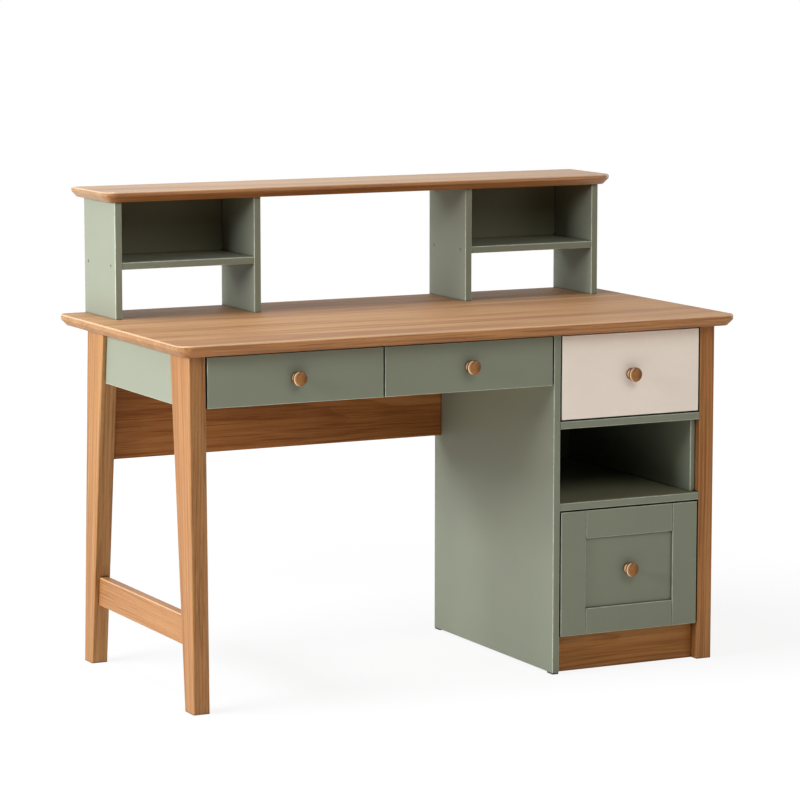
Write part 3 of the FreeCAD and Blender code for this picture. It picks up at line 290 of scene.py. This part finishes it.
def make_oak_group():
    """Oak in space: growth rings round the X axis, bands, fibres and pores along it.

    Way is the grain's direction in the object's own axes, so that end grain is found; Matt is added to the
    roughness; Edge Tint multiplies the colour of a board's banded edges; the arris, edge and gap inputs set a
    painted highlight on its upper rounds, a painted highlight on its rounded edges and painted shade in its
    gaps.
    """
    graph, given, result = new_group(
        "oak_grain",
        [("Vector", "Vector", None), ("Ring Width", "Float", 0.006), ("Tone", "Float", 0.0),
         ("Contrast", "Float", 1.0), ("Tint", "Color", None), ("Edge Highlight", "Float", 0.3),
         ("Gap Shade", "Float", 1.0), ("Matt", "Float", 0.0), ("Way", "Vector", None),
         ("Edge Tint", "Color", None), ("Arris Highlight", "Float", ARRIS_HIGHLIGHT_STRENGTH)],
        [("Color", "Color"), ("Roughness", "Float"), ("Height", "Float")])
    vector = given.outputs["Vector"]
    late = late_wood(graph, vector, given.outputs["Ring Width"])
    band = graph.span(graph.noise(vector, OAK_BAND, 2), 0.36, 0.64)
    streak = graph.span(graph.noise(vector, OAK_STREAK, 3), 0.34, 0.66)
    line = graph.span(graph.noise(vector, OAK_LINE, 2), 0.5, 0.68)
    fibre = graph.noise(vector, OAK_FIBRE, 4, 0.65)
    # most pores lie in early wood
    vessel = graph.noise(vector, OAK_VESSEL, 2)
    pore = graph.math("MULTIPLY", graph.span(vessel, 0.6, 0.7), graph.span(late, 0.5, 0.1, 0.25, 1.0))
    # bands, streaks and fibres vary the tone; late wood and fine lines darken it
    tone = graph.math("MULTIPLY_ADD", band, 0.42, 0.29)
    for part, amount in ((streak, 0.34), (fibre, 0.8)):
        tone = graph.math("MULTIPLY_ADD", graph.math("SUBTRACT", part, 0.5), amount, tone)
    for part, amount in ((late, -0.45), (line, -0.45)):
        tone = graph.math("MULTIPLY_ADD", part, amount, tone)
    # end grain is plainer and paler
    end = end_grain(graph, given.outputs["Way"])
    contrast = graph.span(end, 0.0, 1.0, 1.0, END_GRAIN_CONTRAST)
    contrast = graph.math("MULTIPLY", contrast, given.outputs["Contrast"])
    tone = graph.math("MULTIPLY", graph.math("SUBTRACT", tone, 0.36), contrast)
    tone = graph.math("MULTIPLY_ADD", end, END_GRAIN_TONE, tone)
    tone = graph.math("ADD", graph.math("ADD", tone, 0.5), given.outputs["Tone"])
    colour = graph.ramp(tone, [(0.0, OAK_DARK), (1.0, OAK_LIGHT), (0.5, OAK_MIDDLE)])
    colour = graph.blend(graph.math("MULTIPLY", pore, PORE_STRENGTH), colour, PORE)
    colour = board_finish(graph, given, colour, end, streak)
    rough = graph.math("MULTIPLY_ADD", fibre, 0.12, OAK_ROUGH)
    rough = graph.math("ADD", graph.math("MULTIPLY_ADD", pore, 0.12, rough), given.outputs["Matt"])
    rough = graph.math("MULTIPLY", rough, graph.span(upper_round(graph), 0.0, 1.0, 1.0, UPPER_ROUND_POLISH))
    height = graph.math("MULTIPLY_ADD", pore, -0.8, graph.math("MULTIPLY", fibre, 0.35))
    for name, socket in (("Color", colour), ("Roughness", rough), ("Height", height)):
        graph.tree.links.new(socket, result.inputs[name])
    return graph.tree


def make_paint_group():
    """Satin lacquer on board: a faint mottle, orange peel, a painted highlight on its rounded edges, and
    painted shade in its gaps, its corners and on faces that look into a recess.
    """
    graph, given, result = new_group(
        "satin_paint",
        [("Color", "Color", None), ("Highlight Colour", "Color", None), ("Shade Way", "Vector", None)],
        [("Color", "Color"), ("Roughness", "Float"), ("Height", "Float")])
    place = graph.add("TexCoord").outputs["Object"]
    cloud = graph.noise(place, PAINT_CLOUD, 3)
    mottle = graph.noise(place, PAINT_MOTTLE, 4)
    peel = graph.noise(place, PAINT_PEEL, 2)
    shade = graph.math("ADD", graph.span(cloud, 0.3, 0.7, 0.97, 1.02, "LINEAR"),
                       graph.math("MULTIPLY_ADD", mottle, 0.03, -0.015))
    tinted = graph.add("VectorMath", {0: given.outputs["Color"], "Scale": shade}, operation="SCALE")
    # painted shade on the faces that look into a recess
    facing = graph.add("VectorMath", {0: graph.add("TexCoord").outputs["Normal"],
                                      1: given.outputs["Shade Way"]}, operation="DOT_PRODUCT")
    recess_shade = graph.span(facing.outputs["Value"], 0.4, 0.8)
    tinted = graph.blend(recess_shade, tinted.outputs[0], GREEN_RECESS_SHADE)
    # a patchy painted highlight on the rounded edges
    scuff = graph.span(graph.noise(place, PAINT_SCUFF, 3), 0.35, 0.7)
    edge_highlight = graph.math("MULTIPLY", edge_mask(graph), graph.math("MULTIPLY_ADD", scuff, 0.35, 0.45))
    colour = graph.blend(edge_highlight, tinted, given.outputs["Highlight Colour"])
    # painted shade in gaps and corners
    colour = graph.blend(gap_shade(graph), colour, GAP_SHADE_COLOUR)
    rough = graph.math("MULTIPLY_ADD", mottle, 0.1, PAINT_ROUGH)
    rough = graph.math("MULTIPLY_ADD", edge_highlight, -0.1, rough)
    for name, socket in (("Color", colour), ("Roughness", rough), ("Height", peel)):
        graph.tree.links.new(socket, result.inputs[name])
    return graph.tree


def make_plywood_group():
    """Birch plywood: straight fibres along X on its faces, and plies with glue lines on its edges."""
    graph, given, result = new_group(
        "birch_plywood",
        [("Vector", "Vector", None), ("Depth", "Float", 0.0), ("Edge", "Float", 0.0)],
        [("Color", "Color"), ("Roughness", "Float"), ("Height", "Float")])
    vector = given.outputs["Vector"]
    flame = graph.noise(vector, BIRCH_FLAME, 3)
    fibre = graph.noise(vector, BIRCH_FIBRE, 3, 0.6)
    fleck = graph.span(graph.noise(vector, BIRCH_FLECK, 2), 0.68, 0.78)
    tone = graph.math("MULTIPLY_ADD", fibre, 0.5, graph.math("MULTIPLY", flame, 0.6))
    face = graph.ramp(tone, [(0.25, BIRCH_DARK), (0.8, BIRCH_LIGHT)])
    face = graph.blend(graph.math("MULTIPLY", fleck, 0.3), face, BIRCH_DARK)
    # plies lie in pairs, one along and one across, with a glue line at each joint
    layer = graph.math("FRACT", graph.math("DIVIDE", given.outputs["Depth"], PLY_PAIR))
    crossed = graph.span(layer, 0.47, 0.53)
    off_middle = graph.math("ABSOLUTE", graph.math("SUBTRACT", layer, 0.5))
    glue = graph.math("ADD", graph.span(layer, 0.06, 0.0), graph.span(off_middle, 0.06, 0.0))
    grit = graph.noise(vector, BIRCH_GRIT, 2)
    edge = graph.blend(graph.math("MULTIPLY_ADD", crossed, 0.5, graph.math("MULTIPLY", grit, 0.3)),
                       BIRCH_LIGHT, BIRCH_DARK)
    edge = graph.blend(graph.math("MULTIPLY", glue, GLUE_STRENGTH), edge, GLUE_LINE)
    colour = graph.blend(given.outputs["Edge"], face, edge)
    rough = graph.math("MULTIPLY_ADD", fibre, 0.15, PLY_ROUGH)
    height = graph.math("MULTIPLY_ADD", grit, given.outputs["Edge"], fibre)
    for name, socket in (("Color", colour), ("Roughness", rough), ("Height", height)):
        graph.tree.links.new(socket, result.inputs[name])
    return graph.tree


def make_zinc_group():
    """Zinc-plated rolled steel: rolling lines along Y, a cloudy plating, and brighter rubbed edges."""
    graph, _, result = new_group(
        "zinc_plate", [], [("Color", "Color"), ("Roughness", "Float"), ("Height", "Float")])
    place = graph.add("TexCoord").outputs["Object"]
    lines = graph.noise(place, ZINC_LINES, 3)
    cloud = graph.noise(place, ZINC_CLOUD, 4, 0.6)
    speck = graph.span(graph.noise(place, ZINC_SPECK, 2), 0.62, 0.75)
    tone = graph.math("MULTIPLY_ADD", lines, 0.5, graph.math("MULTIPLY", cloud, 0.7))
    tone = graph.math("MULTIPLY_ADD", edge_mask(graph), 0.3, tone)
    colour = graph.ramp(tone, [(0.3, ZINC_DARK), (0.9, ZINC_LIGHT)])
    colour = graph.blend(graph.math("MULTIPLY", speck, 0.35), colour, ZINC_DARK)
    rough = graph.math("MULTIPLY_ADD", cloud, 0.25, graph.math("MULTIPLY_ADD", speck, 0.15, ZINC_ROUGH))
    for name, socket in (("Color", colour), ("Roughness", rough), ("Height", lines)):
        graph.tree.links.new(socket, result.inputs[name])
    return graph.tree


OAK_GROUP = make_oak_group()
PAINT_GROUP = make_paint_group()
PLYWOOD_GROUP = make_plywood_group()
ZINC_GROUP = make_zinc_group()


def new_material(name):
    """An empty material with its graph and its output node."""
    material = bpy.data.materials.new(name)
    material.use_nodes = True
    material.node_tree.nodes.clear()
    graph = Graph(material.node_tree)
    return material, graph, graph.add("OutputMaterial")


def surface(graph, output, colour, rough, height, depth, strength, **constants):
    """A Principled shader with a bump of a depth in metres; constants go on its own sockets."""
    bump = graph.add("Bump", {"Height": height, "Distance": depth, "Strength": strength})
    shader = graph.add("BsdfPrincipled", {"Base Color": colour, "Roughness": rough,
                                          "Normal": bump.outputs[0]})
    for name, value in constants.items():
        shader.inputs[name].default_value = value
    graph.tree.links.new(shader.outputs[0], output.inputs["Surface"])


def grain_place(graph, heart, along):
    """Object coordinates turned so that X runs along a board's grain and 0 lies in the tree's heart."""
    turn = Vector(along).rotation_difference(Vector((1, 0, 0)))
    mapping = graph.add("Mapping", {
        "Vector": graph.add("TexCoord").outputs["Object"],
        "Location": -(turn @ Vector(heart)),
        "Rotation": turn.to_euler(),
    })
    return mapping.outputs[0]


def make_oak(name, heart, along, ring, tone, contrast, tint, gloss, wear, matt=0.0, edge_tint=(1, 1, 1)):
    """Lacquered oak cut from a tree whose heart passes through a point in a direction."""
    material, graph, output = new_material(name)
    grain = graph.add("Group", node_tree=OAK_GROUP)
    graph.tree.links.new(grain_place(graph, heart, along), grain.inputs["Vector"])
    for label, value in (("Ring Width", ring), ("Tone", tone), ("Contrast", contrast), ("Tint", (*tint, 1)),
                         ("Edge Highlight", wear), ("Matt", matt), ("Way", Vector(along).normalized()),
                         ("Edge Tint", (*edge_tint, 1))):
        grain.inputs[label].default_value = value
    surface(graph, output, grain.outputs["Color"], grain.outputs["Roughness"], grain.outputs["Height"],
            GRAIN_DEPTH, 0.4, **{"Specular IOR Level": gloss})
    return material


def make_knob_oak(name, heart):
    """Turned oak: the grain of a board, painted shade on its right and round the sides of its rim, and a
    painted highlight on its left rim.
    """
    material, graph, output = new_material(name)
    grain = graph.add("Group", node_tree=OAK_GROUP)
    graph.tree.links.new(grain_place(graph, heart, KNOB_WAY), grain.inputs["Vector"])
    for label, value in (("Ring Width", KNOB_RING), ("Tone", 0.0), ("Contrast", KNOB_CONTRAST),
                         ("Tint", (*KNOB_TINT, 1)), ("Edge Highlight", 0.0), ("Gap Shade", KNOB_GAP_SHADE),
                         ("Edge Tint", (1, 1, 1, 1)), ("Arris Highlight", 0.0)):
        grain.inputs[label].default_value = value
    normal = graph.add("SeparateXYZ", {0: graph.add("TexCoord").outputs["Normal"]})
    # facing is 1 on the front face, 0 on the sides
    facing = graph.math("MULTIPLY", normal.outputs[1], -1.0)
    # painted shade on the knob's right
    shade = graph.span(normal.outputs[0], -0.1, 0.45, 0.0, KNOB_SHADE)
    colour = graph.blend(shade, grain.outputs["Color"], KNOB_SHADE_COLOUR)
    # painted shade on the sides of the rim and the neck
    side = graph.span(graph.math("ABSOLUTE", facing), 0.5, 0.2, 0.0, KNOB_SIDE_SHADE)
    colour = graph.blend(side, colour, KNOB_SHADE_COLOUR)
    # painted highlight on the left of the front rim
    band = graph.math("MULTIPLY", graph.span(facing, 0.97, 0.88), graph.span(facing, 0.45, 0.6))
    rim_highlight = graph.math("MULTIPLY", band, graph.span(normal.outputs[0], -0.05, -0.45))
    colour = graph.blend(rim_highlight, colour, KNOB_RIM_HIGHLIGHT)
    rough = graph.math("MULTIPLY", grain.outputs["Roughness"], KNOB_POLISH_ROUGH)
    surface(graph, output, colour, rough, grain.outputs["Height"], GRAIN_DEPTH, 0.3,
            **{"Specular IOR Level": KNOB_GLOSS})
    return material


def make_paint(name, colour, rub, dusk_way=(0, 0, 0)):
    """Satin lacquer in a colour, with painted shade on the faces that look one way into a recess."""
    material, graph, output = new_material(name)
    film = graph.add("Group", node_tree=PAINT_GROUP)
    film.inputs["Color"].default_value = (*colour, 1)
    film.inputs["Highlight Colour"].default_value = (*rub, 1)
    film.inputs["Shade Way"].default_value = dusk_way
    surface(graph, output, film.outputs["Color"], film.outputs["Roughness"], film.outputs["Height"],
            PAINT_DEPTH, 0.2, **{"Specular IOR Level": PAINT_GLOSS})
    return material


def make_plywood(name, along, through):
    """Lacquered birch plywood, with its fibres along one axis and its plies stacked through another."""
    material, graph, output = new_material(name)
    board = graph.add("Group", node_tree=PLYWOOD_GROUP)
    coordinates = graph.add("TexCoord")
    graph.tree.links.new(grain_place(graph, (0, 0, 0), along), board.inputs["Vector"])
    depth = graph.add("VectorMath", {0: coordinates.outputs["Object"], 1: through}, operation="DOT_PRODUCT")
    facing = graph.add("VectorMath", {0: coordinates.outputs["Normal"], 1: through},
                       operation="DOT_PRODUCT")
    graph.tree.links.new(depth.outputs["Value"], board.inputs["Depth"])
    side = graph.span(graph.math("ABSOLUTE", facing.outputs["Value"]), 0.8, 0.6)
    graph.tree.links.new(side, board.inputs["Edge"])
    surface(graph, output, board.outputs["Color"], board.outputs["Roughness"], board.outputs["Height"],
            PLY_DEPTH, 0.3, **{"Specular IOR Level": PLY_GLOSS})
    return material


def make_zinc(name):
    """Zinc-plated steel."""
    material, graph, output = new_material(name)
    plate = graph.add("Group", node_tree=ZINC_GROUP)
    surface(graph, output, plate.outputs["Color"], plate.outputs["Roughness"], plate.outputs["Height"],
            ZINC_DEPTH, 0.25, Metallic=1.0)
    return material


def make_mottled(name, dark, light, scale, rough, **constants):
    """A plain substance with a mottle and a finer grit, lighter where its edges are rubbed."""
    material, graph, output = new_material(name)
    place = graph.add("TexCoord").outputs["Object"]
    mottle = graph.noise(place, (scale, scale, scale), 4, 0.6)
    fine = GRIT_TO_MOTTLE * scale
    grit = graph.noise(place, (fine, fine, fine), 2)
    tone = graph.math("MULTIPLY_ADD", edge_mask(graph), 0.5, graph.math("MULTIPLY", mottle, 0.8))
    colour = graph.ramp(tone, [(0.25, (*dark, 1)), (0.95, (*light, 1))])
    surface(graph, output, colour, graph.math("MULTIPLY_ADD", mottle, 0.2, rough), grit,
            MOTTLE_DEPTH, 0.3, **constants)
    return material


def dress(material, *names):
    """Gives a material to CAD nodes."""
    for name in names:
        for slot in NODES[name].material_slots:
            slot.material = material


# ---------------------------------------------------------------- oak boards

FRONT_LEG_WAY = (0, 0.036, 0.726)
BACK_LEG_WAY = (0, -0.0625, 0.726)
TOP_TINT = (0.79, 0.92, 0.96)
HUTCH_TINT = (0.75, 0.93, 1.06)
BAND_TINT = (1.15, 0.89, 0.56)
LEG_TINT = (0.83, 0.85, 0.74)
BACK_LEG_TINT = (0.9, 0.98, 0.86)
APRON_TINT = (0.9, 0.8, 0.62)
POST_TINT = (0.98, 0.96, 0.8)
KICK_TINT = (1.0, 0.96, 0.68)
BOARDS = {
    # node: heart of the tree, way of the grain, ring width, tone, contrast, tint, gloss, strength of the
    # painted edge highlight,
    # and for the tops also matt and edge tint
    "worktop": ((0, 0.13, 0.62), (1, 0.012, 0.006), 0.012, -0.02, 1.55, TOP_TINT, 0.65, 0.0, 0.2, BAND_TINT),
    "hutch_top": ((0, 0.42, 0.9), (1, -0.008, 0.01), 0.01, -0.02, 1.3, HUTCH_TINT, 0.65, 0.0, 0.0, BAND_TINT),
    "left_front_leg": ((-0.78, -0.44, 0), FRONT_LEG_WAY, 0.007, 0.0, 0.9, LEG_TINT, 0.28, 0.3),
    "left_back_leg": ((-0.83, 0.02, 0), BACK_LEG_WAY, 0.0075, 0.04, 0.9, BACK_LEG_TINT, 0.28, 0.3),
    "left_stretcher": ((-0.7, 0, 0.02), (0.004, 1, 0.012), 0.005, 0.02, 0.75, LEG_TINT, 0.28, 0.3),
    "back_apron": ((0, 0.31, 0.5), (1, 0.012, -0.01), 0.006, 0.0, 1.2, APRON_TINT, 0.12, 0.2),
    "right_front_post": ((0.8, -0.42, 0), (0.004, 0.003, 1), 0.007, 0.0, 1.1, POST_TINT, 0.2, 0.3),
    "right_back_post": ((0.45, 0.42, 0), (-0.004, 0.003, 1), 0.007, 0.0, 1.1, POST_TINT, 0.2, 0.3),
    "kick_board": ((0.35, -0.2, 0.06), (1, 0.01, 0.014), 0.0045, 0.0, 0.85, KICK_TINT, 0.18, 0.2),
}
for node, board in BOARDS.items():
    dress(make_oak("oak_" + node, *board), node)

for node in ("left_pencil_knob", "right_pencil_knob", "upper_drawer_knob", "deep_drawer_knob"):
    low, high = (Vector(corner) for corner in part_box(node))
    heart = (low + high) / 2 + KNOB_TO_HEART
    dress(make_knob_oak("oak_" + node, heart), node)

# ---------------------------------------------------------------- painted boards

BY_SLOT = {
    "green_paint": make_paint("sage_green", GREEN, GREEN_EDGE_HIGHLIGHT),
    "cream_paint": make_paint("warm_cream", CREAM, CREAM_EDGE_HIGHLIGHT),
    "runner_steel": make_zinc("runner_zinc"),
    "screw_steel": make_zinc("screw_zinc"),
    "dark_screw": make_mottled("dark_screw_steel", SCREW_DARK, SCREW_LIGHT, SCREW_MOTTLE, 0.35, Metallic=0.6),
    "black_plastic": make_mottled("black_glide_plastic", GLIDE_DARK, GLIDE_LIGHT, GLIDE_MOTTLE, 0.4),
    "drawer_bottom": make_plywood("birch_bottom", (0, 1, 0), (0, 0, 1)),
}
# green paint with painted shade: on the backs' faces toward the front, on the lower shelf's upper face
BACK_RECESS_SHADE = make_paint("sage_green_back_recess_shade", GREEN, GREEN_EDGE_HIGHLIGHT, (0, -1, 0))
SHELF_RECESS_SHADE = make_paint("sage_green_shelf_recess_shade", GREEN, GREEN_EDGE_HIGHLIGHT, (0, 0, 1))
SIDE_PLY = make_plywood("birch_sides", (0, 1, 0), (1, 0, 0))
BACK_PLY = make_plywood("birch_backs", (1, 0, 0), (0, 1, 0))
for name, node in NODES.items():
    slot = node.material_slots[0].material.name.split(".")[0] if node.material_slots else ""
    if slot in BY_SLOT:
        dress(BY_SLOT[slot], name)
    if slot == "drawer_wood":
        dress(BACK_PLY if name.endswith("_back") else SIDE_PLY, name)
dress(BACK_RECESS_SHADE, "hutch_left_back", "hutch_right_back", "pedestal_back")
dress(SHELF_RECESS_SHADE, "pedestal_lower_shelf")


# ---------------------------------------------------------------- floor, light and camera

FLOOR_COLOUR = (0.84, 0.81, 0.77, 1)
FLOOR_SHADED = (0.11, 0.11, 0.11, 1)
FLOOR_GLOW = (0.88, 1.0)
FLOOR_GLOW_REACH = (0.9, 3.0)
FLOOR_CORNERS = ((-40, -40, 0), (40, -40, 0), (40, 40, 0), (-40, 40, 0))
FLOOR_DROP = 0.0005
AIM = Vector((0, 0, 0.5))


def camera_sees(graph):
    """1 for rays that show the background: from the camera, a reflection or through glass."""
    path = graph.add("LightPath")
    seen = graph.math("MAXIMUM", path.outputs["Is Camera Ray"], path.outputs["Is Glossy Ray"])
    return graph.math("MAXIMUM", seen, path.outputs["Is Transmission Ray"])


def make_floor():
    """A pale floor that looks white and keeps the object's shadow."""
    material, graph, output = new_material("studio_floor")
    plain = graph.add("BsdfDiffuse", {"Color": FLOOR_COLOUR})
    shaded = graph.add("BsdfDiffuse", {"Color": FLOOR_SHADED})
    away = graph.add("VectorMath", {0: graph.add("TexCoord").outputs["Object"]}, operation="LENGTH")
    strength = graph.span(away.outputs["Value"], *FLOOR_GLOW_REACH, *FLOOR_GLOW)
    glow = graph.add("Emission", {"Color": (1, 1, 1, 1), "Strength": strength})
    seen = graph.add("AddShader", {0: shaded.outputs[0], 1: glow.outputs[0]})
    mixed = graph.add("MixShader", {0: camera_sees(graph), 1: plain.outputs[0], 2: seen.outputs[0]})
    graph.tree.links.new(mixed.outputs[0], output.inputs["Surface"])
    mesh = bpy.data.meshes.new("studio_floor")
    mesh.from_pydata(FLOOR_CORNERS, [], [(0, 1, 2, 3)])
    mesh.materials.append(material)
    floor = bpy.data.objects.new("studio_floor", mesh)
    floor.location.z = -FLOOR_DROP
    bpy.context.collection.objects.link(floor)


def make_world():
    """White to the camera and in reflections, with no other light on the object."""
    world = bpy.data.worlds.new("studio")
    world.use_nodes = True
    world.node_tree.nodes.clear()
    graph = Graph(world.node_tree)
    background = graph.add("Background", {"Color": (1, 1, 1, 1), "Strength": camera_sees(graph)})
    graph.add("OutputWorld", {"Surface": background.outputs[0]})
    bpy.context.scene.world = world


def make_lamp(name, place, width, height, watts, colour, mirrored=True):
    """A soft box that points at the desk; one that isn't mirrored lays no glare on the tops."""
    data = bpy.data.lights.new(name, "AREA")
    data.shape = "RECTANGLE"
    data.size = width
    data.size_y = height
    data.energy = watts
    data.color = colour
    lamp = bpy.data.objects.new(name, data)
    lamp.location = place
    lamp.rotation_euler = (AIM - Vector(place)).to_track_quat("-Z", "Y").to_euler()
    lamp.visible_glossy = mirrored
    bpy.context.collection.objects.link(lamp)


COOL = (0.97, 0.99, 1.05)
WARM = (1.0, 1.0, 0.985)
LAMPS = (
    # name, place, width, height, watts, colour, mirrored in gloss
    ("left_strip", (-4.2, -0.5, 1.9), 2.0, 0.8, 154, COOL, False),
    ("left_strip_back", (-4.0, 1.2, 1.8), 2.0, 0.8, 88, COOL, False),
    ("left_high", (-2.6, 0.2, 3.2), 2.0, 2.0, 30, COOL),
    ("overhead", (-0.95, 0, 3.6), 1.1, 1.1, 67, WARM),
    ("front_high", (0, -3.2, 3.2), 2.4, 2.0, 45, WARM),
    ("front_right", (2.6, -3.2, 2.0), 2.0, 2.0, 17, WARM),
    ("right", (3.8, 0, 1.5), 2.0, 2.0, 34, WARM),
    ("back_high", (0, 2.8, 3.2), 2.4, 2.0, 12, WARM),
)
for lamp in LAMPS:
    make_lamp(*lamp)
make_floor()
make_world()

camera_data = bpy.data.cameras.new("camera")
camera_data.lens = LENS_MM
camera_data.sensor_width = SENSOR_MM
camera_data.clip_end = CLIP_END
camera = bpy.data.objects.new("camera", camera_data)
camera.location = CAMERA_PLACE
camera.rotation_euler = CAMERA_TURN
bpy.context.collection.objects.link(camera)
bpy.context.scene.camera = camera
bpy.context.scene.view_settings.view_transform = "Standard"
